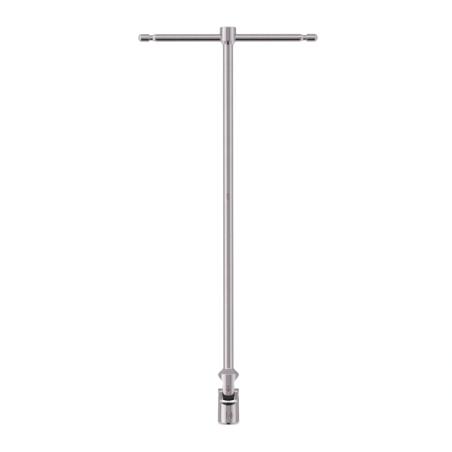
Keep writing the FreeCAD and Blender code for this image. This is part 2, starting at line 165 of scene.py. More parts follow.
def mesh_from(name: str, vertices: list[Vector], faces: list[tuple[int, ...]]) -> bpy.types.Mesh:
    """A mesh with its normals made consistent and outward.

    Args:
        name: the mesh's name.
        vertices: its points, in metres.
        faces: its faces, as vertex numbers.

    Returns:
        The mesh.
    """
    mesh = bpy.data.meshes.new(name)
    mesh.from_pydata(vertices, [], faces)
    grid = bmesh.new()
    grid.from_mesh(mesh)
    bmesh.ops.remove_doubles(grid, verts=grid.verts, dist=1e-7)
    bmesh.ops.recalc_face_normals(grid, faces=grid.faces)
    grid.to_mesh(mesh)
    grid.free()
    return mesh


def turned(
    name: str, outline: Sequence[Point], centre: Vector = Vector(), axis: Axis = Axis.Z, segments: int = 128
) -> bpy.types.Object:
    """A closed turned solid.

    Args:
        name: the piece's name.
        outline: (radius, distance along the axis) in mm, from axis to axis.
        centre: where the outline's zero lies, in metres.
        axis: which way the piece's axis points.
        segments: number of flats around it.

    Returns:
        The new object.
    """
    place = Matrix.Translation(centre) @ axis.value
    vertices: list[Vector] = []
    rings: list[list[int]] = []
    for radius, along in outline:
        count = segments if radius > 1e-9 else 1
        rings.append(list(range(len(vertices), len(vertices) + count)))
        for i in range(count):
            angle = TURN * (i + 0.5) / segments
            spot = Vector((radius * math.cos(angle), radius * math.sin(angle), along)) * MM
            vertices.append(place @ spot)
    faces: list[tuple[int, ...]] = []
    for low, high in zip(rings, rings[1:]):
        for i in range(segments):
            j = (i + 1) % segments
            if len(low) == 1 and len(high) == 1:
                break
            if len(low) == 1:
                faces.append((low[0], high[j], high[i]))
            elif len(high) == 1:
                faces.append((low[i], low[j], high[0]))
            else:
                faces.append((low[i], low[j], high[j], high[i]))
    return new_piece(name, mesh_from(name, vertices, faces))


def swept(
    name: str, outline: Sequence[Point], centre: Vector, spin: Matrix, degrees: float, segments: int = 48
) -> bpy.types.Object:
    """A closed section swept part of the way round an axis: a cutter for the block's crowns.

    Args:
        name: the piece's name.
        outline: closed section, (along the axis, away from it) in mm.
        centre: a point of the axis, in metres.
        spin: turns the axis from X, and the sweep's middle from +Z, to where they belong.
        degrees: how far the section is swept, half to each side.
        segments: number of steps.

    Returns:
        The new object.
    """
    place = Matrix.Translation(centre) @ spin
    vertices = []
    for i in range(segments + 1):
        angle = math.radians(degrees) * (i / segments - 0.5)
        for along, away in outline:
            vertices.append(place @ (Vector((along, away * math.sin(angle), away * math.cos(angle))) * MM))
    size = len(outline)
    faces: list[tuple[int, ...]] = [tuple(range(size)), tuple(range(segments * size, (segments + 1) * size))]
    for i in range(segments):
        for j in range(size):
            k = (j + 1) % size
            low, high = i * size, (i + 1) * size
            faces.append((low + j, low + k, high + k, high + j))
    return new_piece(name, mesh_from(name, vertices, faces))


def prism(name: str, outline: Sequence[Point], centre: Vector, axis: Axis, length: float) -> bpy.types.Object:
    """A straight prism, centred on its plane.

    Args:
        name: the piece's name.
        outline: closed section in mm: (x, z) for a prism along Y, (y, z) along X and (x, y) along Z.
        centre: where the section's zero lies, in metres.
        axis: the direction of the prism.
        length: its length in mm.

    Returns:
        The new object.
    """
    spread = {
        Axis.X: lambda u, v, w: Vector((w, u, v)),
        Axis.Y: lambda u, v, w: Vector((u, w, v)),
        Axis.Z: lambda u, v, w: Vector((u, v, w)),
    }[axis]
    vertices = [
        centre + spread(u, v, side * length / 2) * MM for side in (-1, 1) for u, v in outline
    ]
    size = len(outline)
    faces: list[tuple[int, ...]] = [tuple(range(size)), tuple(range(size, 2 * size))]
    faces += [(i, (i + 1) % size, size + (i + 1) % size, size + i) for i in range(size)]
    return new_piece(name, mesh_from(name, vertices, faces))


def settle(piece: bpy.types.Object) -> None:
    """Applies the piece's modifiers to its mesh."""
    evaluated = piece.evaluated_get(bpy.context.evaluated_depsgraph_get())
    mesh = bpy.data.meshes.new_from_object(evaluated)
    mesh.name = piece.name
    piece.modifiers.clear()
    piece.data = mesh


def carve(piece: bpy.types.Object, *tools: bpy.types.Object, keep: bool = False) -> None:
    """Cuts the tools out of a piece, and removes them.

    Args:
        piece: the solid that is cut.
        tools: closed solids.
        keep: keeps what lies inside the tools, in place of what lies outside them.
    """
    for tool in tools:
        cut = piece.modifiers.new(tool.name, "BOOLEAN")
        cut.object = tool
        cut.operation = "INTERSECT" if keep else "DIFFERENCE"
        cut.solver = "EXACT"
        settle(piece)
        bpy.data.objects.remove(tool)


def break_edges(
    piece: bpy.types.Object,
    width: float,
    where: Optional[Callable[[Vector], bool]] = None,
    sharp: float = 27.0,
) -> None:
    """Rounds the piece's sharp edges, so that they catch the light.

    Args:
        piece: the solid.
        width: width of the round in mm.
        where: a test of an edge's middle, in metres; without it every sharp edge is rounded.
        sharp: the least turn, in degrees, of an edge that counts as sharp.
    """
    grid = bmesh.new()
    grid.from_mesh(piece.data)
    bmesh.ops.remove_doubles(grid, verts=grid.verts, dist=2e-6)
    bmesh.ops.dissolve_degenerate(grid, edges=grid.edges, dist=2e-6)
    edges = [
        edge
        for edge in grid.edges
        if len(edge.link_faces) == 2
        and edge.calc_face_angle(0) > math.radians(sharp)
        and (where is None or where((edge.verts[0].co + edge.verts[1].co) / 2))
    ]
    bmesh.ops.bevel(
        grid, geom=edges, offset=width * MM, offset_type="OFFSET", segments=3, profile=0.5, affect="EDGES",
        clamp_overlap=True,
    )
    grid.to_mesh(piece.data)
    grid.free()


def smooth(piece: bpy.types.Object, sharp: float = 32.0) -> None:
    """Smooth shading that keeps flats flat and corners crisp.

    Args:
        piece: the mesh object.
        sharp: edges that turn by more degrees than this stay crisp.
    """
    piece.data.shade_smooth()
    piece.data.set_sharp_from_angle(angle=math.radians(sharp))
    weighted = piece.modifiers.new("flats_stay_flat", "WEIGHTED_NORMAL")
    weighted.keep_sharp = True
    weighted.weight = FLAT_WEIGHT


def fit(
    piece: bpy.types.Object, body: Body, node: Optional[str], finish: bpy.types.Material
) -> bpy.types.Object:
    """Dresses a piece and ties it to the frame.

    Args:
        piece: the finished mesh object.
        body: the body that it rides on.
        node: the CAD node that it stands for, or None for a mark or a trim piece.
        finish: its material.

    Returns:
        The same piece.
    """
    if not piece.data.materials:
        piece.data.materials.append(finish)
    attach(piece, body.value)
    if node:
        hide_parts(node)
    LOG.info("%s: %d faces on %s", piece.name, len(piece.data.polygons), body.value)
    return piece


# ---------------------------------------------------------------- finishes


def linear(code: str) -> tuple[float, float, float]:
    """The linear colour of an sRGB hex code."""
    shares = [int(code[i : i + 2], 16) / 255 for i in (1, 3, 5)]
    return tuple(s / 12.92 if s <= 0.04045 else ((s + 0.055) / 1.055) ** 2.4 for s in shares)


def feed(tree: bpy.types.NodeTree, node: bpy.types.Node, inputs: dict) -> None:
    """Sets each input, by name or number, to a value or links it to an output."""
    for name, value in inputs.items():
        if isinstance(value, bpy.types.NodeSocket):
            tree.links.new(value, node.inputs[name])
        else:
            node.inputs[name].default_value = value


def put(
    tree: bpy.types.NodeTree, kind: str, inputs: Optional[dict] = None, **settings: object
) -> bpy.types.Node:
    """Adds a node.

    Args:
        tree: where it goes.
        kind: its type's name.
        inputs: for each input, by name or number, a value or the output to link to it.
        settings: the node's own properties.

    Returns:
        The node.
    """
    node = tree.nodes.new(kind)
    for name, value in settings.items():
        setattr(node, name, value)
    feed(tree, node, inputs or {})
    return node


def blank_material(name: str) -> tuple[bpy.types.Material, bpy.types.NodeTree, bpy.types.Node]:
    """A new material, its tree and its shader."""
    material = bpy.data.materials.new(name)
    material.use_nodes = True
    return material, material.node_tree, material.node_tree.nodes["Principled BSDF"]


def mottled(
    tree: bpy.types.NodeTree, place: bpy.types.NodeSocket, size: float, detail: float, first: str, second: str
) -> tuple[bpy.types.NodeSocket, bpy.types.NodeSocket]:
    """A cloudy pattern and the two-tone colour that follows it.

    Args:
        tree: the material's tree.
        place: where on the piece the pattern is read.
        size: size of its blotches in mm.
        detail: how finely they break up.
        first: sRGB hex colour where the pattern is low.
        second: the colour where it is high.

    Returns:
        The pattern, from 0 to 1, and the colour.
    """
    pattern = put(tree, "ShaderNodeTexNoise", {"Vector": place, "Scale": 1 / (size * MM), "Detail": detail})
    colour = put(
        tree, "ShaderNodeMix",
        {"Factor": pattern.outputs["Fac"], "A": (*linear(first), 1), "B": (*linear(second), 1)},
        data_type="RGBA",
    )
    return pattern.outputs["Fac"], colour.outputs["Result"]


@dataclass(frozen=True)
class ChromePlate:
    """Chrome plate over ground and buffed tool steel.

    A mirror with a faint warm cast.  The buffing wheel leaves very fine rings round each turned piece,
    which stretch reflections along it, and handling leaves soft smudges that change the gloss a little.
    """

    name: str
    axis: Axis = Axis.Z
    colour: str = "#D9D5D6"
    hazy: str = "#CFCACB"
    gloss: float = 0.075  # roughness of the clean plate
    smudge: float = 0.045  # how much rougher the smudges are
    ring_spacing: float = 0.35  # mm; real buffing lines are finer, and wouldn't show
    ring_depth: float = 0.0001  # mm
    ring_run: float = 20.0  # mm that a buffing line holds on for round the piece
    smudge_size: float = 9.0  # mm
    smudge_level: tuple[float, float] = (0.4, 0.75)  # where in the pattern a smudge starts and is full
    rim: float = 0.7  # chromium sends back less near grazing, which keeps the outlines crisp

    def make(self) -> bpy.types.Material:
        """Builds the material."""
        material, tree, shader = blank_material(self.name)
        place = put(tree, "ShaderNodeTexCoord").outputs["Object"]
        smudges, tint = mottled(tree, place, self.smudge_size, 4.0, self.colour, self.hazy)
        gloss = put(
            tree, "ShaderNodeMapRange",
            {"Value": smudges, "From Min": self.smudge_level[0], "From Max": self.smudge_level[1],
             "To Min": self.gloss, "To Max": self.gloss + self.smudge},
            interpolation_type="SMOOTHSTEP",
        )
        along = {Axis.X: (1, 0, 0), Axis.Y: (0, 1, 0), Axis.Z: (0, 0, 1)}[self.axis]
        fine, coarse = 1 / (self.ring_spacing * MM), 1 / (self.ring_run * MM)
        stretched = put(
            tree, "ShaderNodeMapping", {"Vector": place, "Scale": tuple(fine if a else coarse for a in along)}
        )
        rings = put(
            tree, "ShaderNodeTexNoise", {"Vector": stretched.outputs["Vector"], "Scale": 1.0, "Detail": 3.0}
        )
        relief = put(
            tree, "ShaderNodeBump",
            {"Height": rings.outputs["Fac"], "Strength": 1.0, "Distance": self.ring_depth * MM},
        )
        feed(tree, shader, {
            "Base Color": tint, "Roughness": gloss.outputs["Result"], "Normal": relief.outputs["Normal"],
            "Metallic": 1.0, "Specular Tint": (*[self.rim] * 3, 1),
        })
        return material


@dataclass(frozen=True)
class DullPlate:
    """Thin, unbuffed plate inside the hex hole: grey and satin, because no wheel reaches there."""

    name: str
    colour: str = "#9B9694"
    shade: str = "#77716F"
    gloss: float = 0.34
    grain: float = 0.5  # mm
    grain_depth: float = 0.004  # mm

    def make(self) -> bpy.types.Material:
        """Builds the material."""
        material, tree, shader = blank_material(self.name)
        place = put(tree, "ShaderNodeTexCoord").outputs["Object"]
        grain, tint = mottled(tree, place, self.grain, 5.0, self.colour, self.shade)
        relief = put(
            tree, "ShaderNodeBump", {"Height": grain, "Strength": 0.6, "Distance": self.grain_depth * MM}
        )
        feed(tree, shader, {
            "Base Color": tint, "Roughness": self.gloss, "Normal": relief.outputs["Normal"], "Metallic": 1.0,
        })
        return material


@dataclass(frozen=True)
class BlackOxide:
    """Hot-blacked milled steel: nearly black, matt, with a slight oily sheen and a mottled grain."""

    name: str
    colour: str = "#1B1B1E"
    faded: str = "#2C2B2D"
    gloss: tuple[float, float] = (0.38, 0.58)
    grain: float = 0.4  # mm, the mill's finish
    grain_depth: float = 0.01  # mm
    mottle: float = 2.5  # mm, uneven blacking
    metal: float = 0.35  # the oxide film hides most of the steel's own reflection

    def make(self) -> bpy.types.Material:
        """Builds the material."""
        material, tree, shader = blank_material(self.name)
        place = put(tree, "ShaderNodeTexCoord").outputs["Object"]
        _, tint = mottled(tree, place, self.mottle, 6.0, self.colour, self.faded)
        fine = 1 / (self.grain * MM)
        grain = put(tree, "ShaderNodeTexNoise", {"Vector": place, "Scale": fine, "Detail": 4.0})
        gloss = put(
            tree, "ShaderNodeMapRange",
            {"Value": grain.outputs["Fac"], "To Min": self.gloss[0], "To Max": self.gloss[1]},
        )
        relief = put(
            tree, "ShaderNodeBump",
            {"Height": grain.outputs["Fac"], "Strength": 0.8, "Distance": self.grain_depth * MM},
        )
        feed(tree, shader, {
            "Base Color": tint, "Roughness": gloss.outputs["Result"], "Normal": relief.outputs["Normal"],
            "Metallic": self.metal,
        })
        return material


@dataclass(frozen=True)
class BareSteel:
    """Ground steel with no plate: brownish grey, half dull and lightly stained, with a fine ground grain."""

    name: str
    colour: str = "#BFB2AB"
    stain: str = "#A08F85"
    gloss: tuple[float, float] = (0.28, 0.5)
    stain_size: float = 1.6  # mm
    stain_level: tuple[float, float] = (0.3, 0.7)  # where in the pattern a stain starts and is full
    grind: float = 0.25  # mm; real grinding marks are finer, and wouldn't show
    grind_depth: float = 0.006  # mm

    def make(self) -> bpy.types.Material:
        """Builds the material."""
        material, tree, shader = blank_material(self.name)
        place = put(tree, "ShaderNodeTexCoord").outputs["Object"]
        stains, tint = mottled(tree, place, self.stain_size, 6.0, self.colour, self.stain)
        gloss = put(
            tree, "ShaderNodeMapRange",
            {"Value": stains, "From Min": self.stain_level[0], "From Max": self.stain_level[1],
             "To Min": self.gloss[0], "To Max": self.gloss[1]},
        )
        fine = 1 / (self.grind * MM)
        grind = put(tree, "ShaderNodeTexNoise", {"Vector": place, "Scale": fine, "Detail": 3.0})
        relief = put(
            tree, "ShaderNodeBump",
            {"Height": grind.outputs["Fac"], "Strength": 0.7, "Distance": self.grind_depth * MM},
        )
        feed(tree, shader, {
            "Base Color": tint, "Roughness": gloss.outputs["Result"], "Normal": relief.outputs["Normal"],
            "Metallic": 1.0,
        })
        return material


@dataclass(frozen=True)
class EtchedMark:
    """Acid-etched mark in the plate: matt brownish grey, a little blotchy."""

    name: str
    colour: str = "#8B7F7A"
    blotch: str = "#766A65"
    gloss: float = 0.5
    blotch_size: float = 0.7  # mm
    metal: float = 0.7  # the etch leaves a thin, partly dull skin

    def make(self) -> bpy.types.Material:
        """Builds the material."""
        material, tree, shader = blank_material(self.name)
        place = put(tree, "ShaderNodeTexCoord").outputs["Object"]
        _, tint = mottled(tree, place, self.blotch_size, 5.0, self.colour, self.blotch)
        feed(tree, shader, {"Base Color": tint, "Roughness": self.gloss, "Metallic": self.metal})
        return material


class Finishes:
    """Every finish of the wrench, made once."""

    def __init__(self) -> None:
        """Makes the materials."""
        self.plate = ChromePlate("chrome_plate_upright").make()
        self.bar_plate = ChromePlate("chrome_plate_crosswise", axis=Axis.X).make()
        self.hole_plate = DullPlate("dull_plate_in_hex_hole").make()
        self.black = BlackOxide("black_oxide_on_block").make()
        self.pin_steel = BareSteel("bare_steel_of_pins").make()
        self.spring_steel = BareSteel("spring_steel", colour="#7A7674", stain="#5D5856").make()
        polished = (0.08, 0.16)
        self.ball_steel = BareSteel("ball_steel", colour="#B9B6B4", stain="#A8A4A2", gloss=polished).make()
        self.etch = EtchedMark("etched_size_mark").make()


# ---------------------------------------------------------------- the wrench


def middle_of(node: str) -> Vector:
    """Centre of a CAD node's box, in metres."""
    low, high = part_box(node)
    return (Vector(low) + Vector(high)) / 2


def axis_point(height: float) -> Vector:
    """The point of the wrench's upright axis at a height in metres."""
    return Vector((0, 0, height))


@dataclass
class CrossBar:
    """Sliding bar with a detent groove and a bullet-shaped knob at each end.  Millimetres."""

    diameter: float = 8.0
    knob_diameter: float = 8.1
    knob_length: float = 11.0
    knob_round: float = 3.3
    neck_diameter: float = 5.8
    neck_length: float = 3.6
    ramp_length: float = 4.2
    ramp_round: float = 9.0
    lip: float = 0.25

    def outline(self, length: float) -> list[Point]:
        """(radius, distance from the middle) of one half, from the middle to the tip."""
        tip, knob = length / 2, self.knob_diameter / 2
        shoulder = tip - self.knob_length
        neck = shoulder - self.neck_length
        run, rise = self.ramp_length, (self.diameter - self.neck_diameter) / 2
        chord = math.hypot(run, rise)
        tilt = math.degrees(math.atan2(run, -rise))
        bow = math.degrees(math.asin(chord / 2 / self.ramp_round))
        facing = tilt - 90
        middle = Vector((self.diameter / 2 - rise / 2, neck - run / 2))
        inward = Vector((math.cos(math.radians(facing)), math.sin(math.radians(facing))))
        centre = middle - inward * math.sqrt(self.ramp_round**2 - chord**2 / 4)
        ramp = arc(tuple(centre), self.ramp_round, facing - bow, facing + bow, 10)
        knob_part = softened([
            (self.neck_diameter / 2, neck, 0),
            (self.neck_diameter / 2, shoulder, self.lip),
            (knob, shoulder, self.lip),
            (knob, tip, self.knob_round),
            (0, tip, 0),
        ], steps=12)
        return [(self.diameter / 2, 0.0)] + ramp + knob_part[1:]

    def build(self, finishes: Finishes) -> None:
        """Makes the bar."""
        low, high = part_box("tee_bar")
        half = self.outline((high[0] - low[0]) / MM)
        whole = [(radius, -along) for radius, along in reversed(half)] + half[1:]
        bar = turned("sliding_bar", whole, middle_of("tee_bar"), Axis.X, 96)
        smooth(bar)
        fit(bar, Body.CROSS_BAR, "tee_bar", finishes.bar_plate)


@dataclass
class Head:
    """Cross-bored head with its sprung ball.  Heights are from the bar's axis, in millimetres."""

    diameter: float = 16.6
    bar_bore: float = 8.2
    bore_reach: float = 12  # of the drill that cuts it
    bore_break: float = 0.3  # width of the round at the bore's two mouths
    cone_top: float = -3.7
    cone_length: float = 3.2
    waist_round: float = 4.0
    shoulder_round: float = 0.8
    top_round: float = 0.8
    shank_diameter: float = 10.4
    spigot_diameter: float = 7.0
    spigot_length: float = 6.0
    ball_bore: float = 3.2
    plug_diameter: float = 4.4
    plug_depth: float = 1.4
    plug_dome: float = 0.5
    wire: float = 0.4
    coils: float = 3.0

    def shell(self, finishes: Finishes) -> None:
        """Turns the head and bores it."""
        low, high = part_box("head")
        centre = axis_point(middle_of("tee_bar").z)
        bottom, top = (low[2] - centre.z) / MM, (high[2] - centre.z) / MM
        waist = self.cone_top - self.cone_length
        outline = softened([
            (0, bottom + self.spigot_length, 0),
            (self.spigot_diameter / 2, bottom + self.spigot_length, 0),
            (self.spigot_diameter / 2, bottom, 0),
            (self.shank_diameter / 2, bottom, 0),
            (self.shank_diameter / 2, waist, self.waist_round),
            (self.diameter / 2, self.cone_top, self.shoulder_round),
            (self.diameter / 2, top, self.top_round),
            (self.plug_diameter / 2, top, 0.1),
            (self.plug_diameter / 2, top - self.plug_depth, 0),
            (self.ball_bore / 2, top - self.plug_depth, 0),
            (self.ball_bore / 2, 0, 0),
            (0, 0, 0),
        ])
        head = turned("head_turned", outline, centre)
        bore = self.bar_bore / 2
        cutter = turned("bar_bore_cutter", through_drill(bore, self.bore_reach), centre, Axis.X, 90)
        carve(head, cutter)

        def is_bore_mouth(spot: Vector) -> bool:
            """True on the two outer mouths of the cross bore."""
            on_skin = math.hypot(spot.x, spot.y) > 8 * MM
            return on_skin and abs(spot.z - centre.z) < (bore + self.bore_break) * MM

        break_edges(head, self.bore_break, is_bore_mouth)
        smooth(head)
        fit(head, Body.HANDLE, "head", finishes.plate)

    def plug(self, finishes: Finishes) -> None:
        """Makes the domed plug over the ball's bore."""
        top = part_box("detent_plug")[1][2]
        radius = self.plug_diameter / 2
        sphere = (radius**2 + self.plug_dome**2) / (2 * self.plug_dome)
        edge = math.degrees(math.asin(radius / sphere))
        outline = [(0, -self.plug_depth), (radius, -self.plug_depth)]
        outline += arc((0, self.plug_dome - sphere), sphere, 90 - edge, 90, 10)
        plug = turned("domed_plug", outline, axis_point(top - self.plug_dome * MM), segments=64)
        smooth(plug)
        fit(plug, Body.HANDLE, "detent_plug", finishes.plate)

    def ball(self, finishes: Finishes) -> None:
        """Makes the ball that rubs on the bar."""
        low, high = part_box("detent_ball")
        outline = arc((0, 0), (high[2] - low[2]) / 2 / MM, -90, 90, 24)
        ball = turned("sprung_ball", outline, middle_of("detent_ball"), segments=48)
        smooth(ball)
        fit(ball, Body.BALL, "detent_ball", finishes.ball_steel)

    def spring(self, finishes: Finishes) -> None:
        """Winds the spring over the ball."""
        low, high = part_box("detent_spring")
        coil_radius = (high[0] - low[0]) / 2 - self.wire / 2 * MM
        bottom, top = low[2] + self.wire / 2 * MM, high[2] - self.wire / 2 * MM
        path = bpy.data.curves.new("spring_path", "CURVE")
        path.dimensions = "3D"
        path.bevel_depth = self.wire / 2 * MM
        path.bevel_resolution = 4
        path.use_fill_caps = True
        steps = 96
        line = path.splines.new("POLY")
        line.points.add(steps)
        for i in range(steps + 1):
            share = i / steps
            angle = TURN * self.coils * share
            height = bottom + (top - bottom) * share
            line.points[i].co = (coil_radius * math.cos(angle), coil_radius * math.sin(angle), height, 1)
        wire = new_piece("coil_spring_path", path)
        mesh = bpy.data.meshes.new_from_object(wire.evaluated_get(bpy.context.evaluated_depsgraph_get()))
        bpy.data.objects.remove(wire)
        spring = new_piece("coil_spring", mesh)
        spring.data.shade_smooth()
        fit(spring, Body.HANDLE, "detent_spring", finishes.spring_steel)
        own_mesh(spring)

    def build(self, finishes: Finishes) -> None:
        """Makes the head and what is inside it."""
        self.shell(finishes)
        self.plug(finishes)
        self.ball(finishes)
        self.spring(finishes)


@dataclass
class Shank:
    """Ground rod with a spigot at each end and an etched length mark.  Millimetres."""

    diameter: float = 10.4
    spigot_diameter: float = 7.0
    spigot_length: float = 6.0
    mark_height: float = 3.0
    mark_middle: float = 228.8
    mark_bold: float = 0.1

    def build(self, finishes: Finishes) -> None:
        """Makes the rod."""
        low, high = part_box("shank")
        length = (high[2] - low[2]) / MM
        thin, thick, step = self.spigot_diameter / 2, self.diameter / 2, self.spigot_length
        outline = [
            (0, 0), (thin, 0), (thin, step), (thick, step),
            (thick, length - step), (thin, length - step), (thin, length), (0, length),
        ]
        rod = turned("shank_rod", outline, axis_point(low[2]))
        smooth(rod)
        fit(rod, Body.HANDLE, "shank", finishes.plate)
        radius = thick * MM
        mark = wrapped_text(
            "length_mark", "400", self.mark_height, self.mark_middle, radius, self.mark_bold, upright=False
        )
        fit(mark, Body.HANDLE, None, finishes.etch)


@dataclass
class Fork:
    """What the two forks share: sizes of the slot, the ears and the pin holes, in millimetres."""

    diameter: float = 21.0
    slot_width: float = 12.25
    slot_reach: float = 7.5
    slot_corner: float = 0.6
    ear_tip_width: float = 11.0
    ear_reach: float = 6.0
    ear_round: float = 4.0
    pin_diameter: float = 5.2
    pin_sink: float = 0.38  # how deep the shallow countersink of a pin hole starts
    edge_width: float = 0.22
    past: float = 4.0  # how far a cutter's outline runs clear of the fork
    foot: float = 60.0  # how far the part that stays runs on from the pin, past the blank's far end

    def cut(
        self, blank: bpy.types.Object, pin: Vector, up: int, across: Axis, ramp: Sequence[Corner]
    ) -> None:
        """Mills the slot, the ears' flats and the pin hole out of a turned blank.

        Args:
            blank: the turned blank.
            pin: a point of the pin's axis, on the wrench's own axis.
            up: 1 where the ears point up and -1 where they point down.
            across: the direction that the slot runs in.
            ramp: the ramp's corners outwards: half its width, distance from the pin, and round.
        """
        slot, clear = self.slot_width / 2, self.ear_reach + self.past
        section = softened([
            (-slot, clear, 0), (-slot, -self.slot_reach, self.slot_corner),
            (slot, -self.slot_reach, self.slot_corner), (slot, clear, 0),
        ])
        slot_section = [(x, up * z) for x, z in section]
        carve(blank, prism("slot_cutter", slot_section, pin, across, CUTTER_LENGTH))

        wide = self.diameter / 2 + self.past
        (inner, near, _), (outer, end, _) = ramp[-2:]
        far = end + (end - near) / (outer - inner) * (wide - outer)
        tip = self.ear_tip_width / 2
        corners = [(wide, -self.foot, 0.0), (wide, -far, 0.0)]
        corners += [(width, -distance, bend) for width, distance, bend in reversed(ramp[:-1])]
        corners += [(tip, self.ear_reach - self.ear_round, 0.0), (tip, self.ear_reach, self.ear_round)]
        corners += [(-x, z, bend) for x, z, bend in reversed(corners)]
        keep = [(x, up * z) for x, z in softened(corners, 10)]
        along = Axis.X if across is Axis.Y else Axis.Y
        carve(blank, prism("ear_keeper", keep, pin, along, CUTTER_LENGTH), keep=True)
        hole, sunk = self.pin_diameter / 2, self.diameter / 2 - self.pin_sink
        flare = hole + (DRILL_REACH - sunk) * math.sqrt(3)  # countersinks of 120 degrees
        drill = [
            (0, -DRILL_REACH), (flare, -DRILL_REACH), (hole, -sunk),
            (hole, sunk), (flare, DRILL_REACH), (0, DRILL_REACH),
        ]
        carve(blank, turned("pin_hole_cutter", drill, pin, along, 60))


@dataclass
class UpperFork(Fork):
    """Fork under the shank, its ears front and back.  Distances are from the upper pin, in millimetres."""

    ramp: tuple[Corner, ...] = ((5.9, 7.2, 0.6), (10.5, 13.0, 0))
    cone_start: float = 15.0
    cone_end: float = 20.3
    shoulder_round: float = 0.8
    neck_round: float = 2.2
    shank_diameter: float = 10.4
    spigot_diameter: float = 7.0
    spigot_length: float = 6.0

    def build(self, finishes: Finishes) -> None:
        """Makes the upper fork."""
        pin = axis_point(middle_of("yoke_pin").z)
        top = (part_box("upper_yoke")[1][2] - pin.z) / MM
        outline = softened([
            (0, -self.ear_reach, 0),
            (self.diameter / 2, -self.ear_reach, 0),
            (self.diameter / 2, self.cone_start, self.shoulder_round),
            (self.shank_diameter / 2, self.cone_end, self.neck_round),
            (self.shank_diameter / 2, top, 0),
            (self.spigot_diameter / 2, top, 0),
            (self.spigot_diameter / 2, top - self.spigot_length, 0),
            (0, top - self.spigot_length, 0),
        ])
        fork = turned("upper_fork", outline, pin)
        self.cut(fork, pin, -1, Axis.X, self.ramp)
        limit = pin.z + self.cone_start * MM

        def is_milled(spot: Vector) -> bool:
            """True below the turned shoulder."""
            return spot.z < limit - 0.1 * MM

        break_edges(fork, self.edge_width, is_milled)
        smooth(fork)
        fit(fork, Body.HANDLE, "upper_yoke", finishes.plate)


@dataclass
class SocketFork(Fork):
    """Socket with the lower fork on top, its ears left and right.

    Heights are above the mouth, in millimetres.
    """

    ramp: tuple[Corner, ...] = ((5.9, 5.2, 1.5), (6.4, 7.6, 0.2), (10.5, 10.4, 0))
    socket_diameter: float = 21.5
    straight: float = 8.0
    taper_end: float = 20.0
    taper_round: float = 40
    mouth_bevel: tuple[float, float] = (1.25, 1.9)  # width across and height of the bevel round the mouth
    mouth_round: float = 2.4
    bevel_diameter: float = 17.2
    bore_diameter: float = 12.6
    bore_end: float = 17.0
    hex_flats: float = 14.1
    hex_depth: float = 13.0
    hex_edge: float = 0.2
    mark_height: float = 6.2
    mark_middle: float = 9.3
    mark_bold: float = 0.22

    def build(self, finishes: Finishes) -> None:
        """Makes the socket and its size mark."""
        pin = axis_point(middle_of("socket_pin").z)
        bore, bevel = self.bore_diameter / 2, self.bevel_diameter / 2
        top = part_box("socket")[1][2] / MM
        outline = softened([
            (0, self.bore_end + bore / 3, 0),
            (bore, self.bore_end, 0.3),
            (bore, bevel - bore, 0),
            (bevel, 0, 0.15),
            (self.socket_diameter / 2 - self.mouth_bevel[0], 0, 0.4),
            (self.socket_diameter / 2, self.mouth_bevel[1], self.mouth_round),
            (self.socket_diameter / 2, self.straight, self.taper_round),
            (self.diameter / 2, self.taper_end, self.taper_round),
            (self.diameter / 2, top, 0),
            (0, top, 0),
        ])
        socket = turned("socket_fork", outline)
        corner = self.hex_flats / math.sqrt(3)
        hexagon = [(corner * math.cos(TURN * i / 6), corner * math.sin(TURN * i / 6)) for i in range(6)]
        carve(socket, prism("hex_cutter", hexagon, Vector(), Axis.Z, 2 * self.hex_depth))
        self.cut(socket, pin, 1, Axis.Y, self.ramp)
        floor = pin.z - (self.ramp[-1][1] + 1) * MM

        def is_milled(spot: Vector) -> bool:
            """True in the fork, above the turned body."""
            return spot.z > floor

        def is_hex_edge(spot: Vector) -> bool:
            """True inside the hex hole."""
            return spot.z < floor and math.hypot(spot.x, spot.y) < (corner + 0.6) * MM

        break_edges(socket, self.edge_width, is_milled)
        break_edges(socket, self.hex_edge, is_hex_edge)
        socket.data.materials.append(finishes.plate)
        socket.data.materials.append(finishes.hole_plate)
        inside, deepest = (bevel - 0.3) * MM, (self.bore_end + 3) * MM
        for face in socket.data.polygons:
            spot = face.center
            face.material_index = int(spot.z < deepest and math.hypot(spot.x, spot.y) < inside)
        smooth(socket)
        fit(socket, Body.DRIVE, "socket", finishes.plate)
        self.mark(finishes)

    def mark(self, finishes: Finishes) -> None:
        """Etches a plain size number on the front of the socket."""
        radius = self.socket_diameter / 2 * MM
        mark = wrapped_text(
            "size_mark", "14", self.mark_height, self.mark_middle, radius, self.mark_bold, upright=True
        )
        fit(mark, Body.DRIVE, None, finishes.etch)


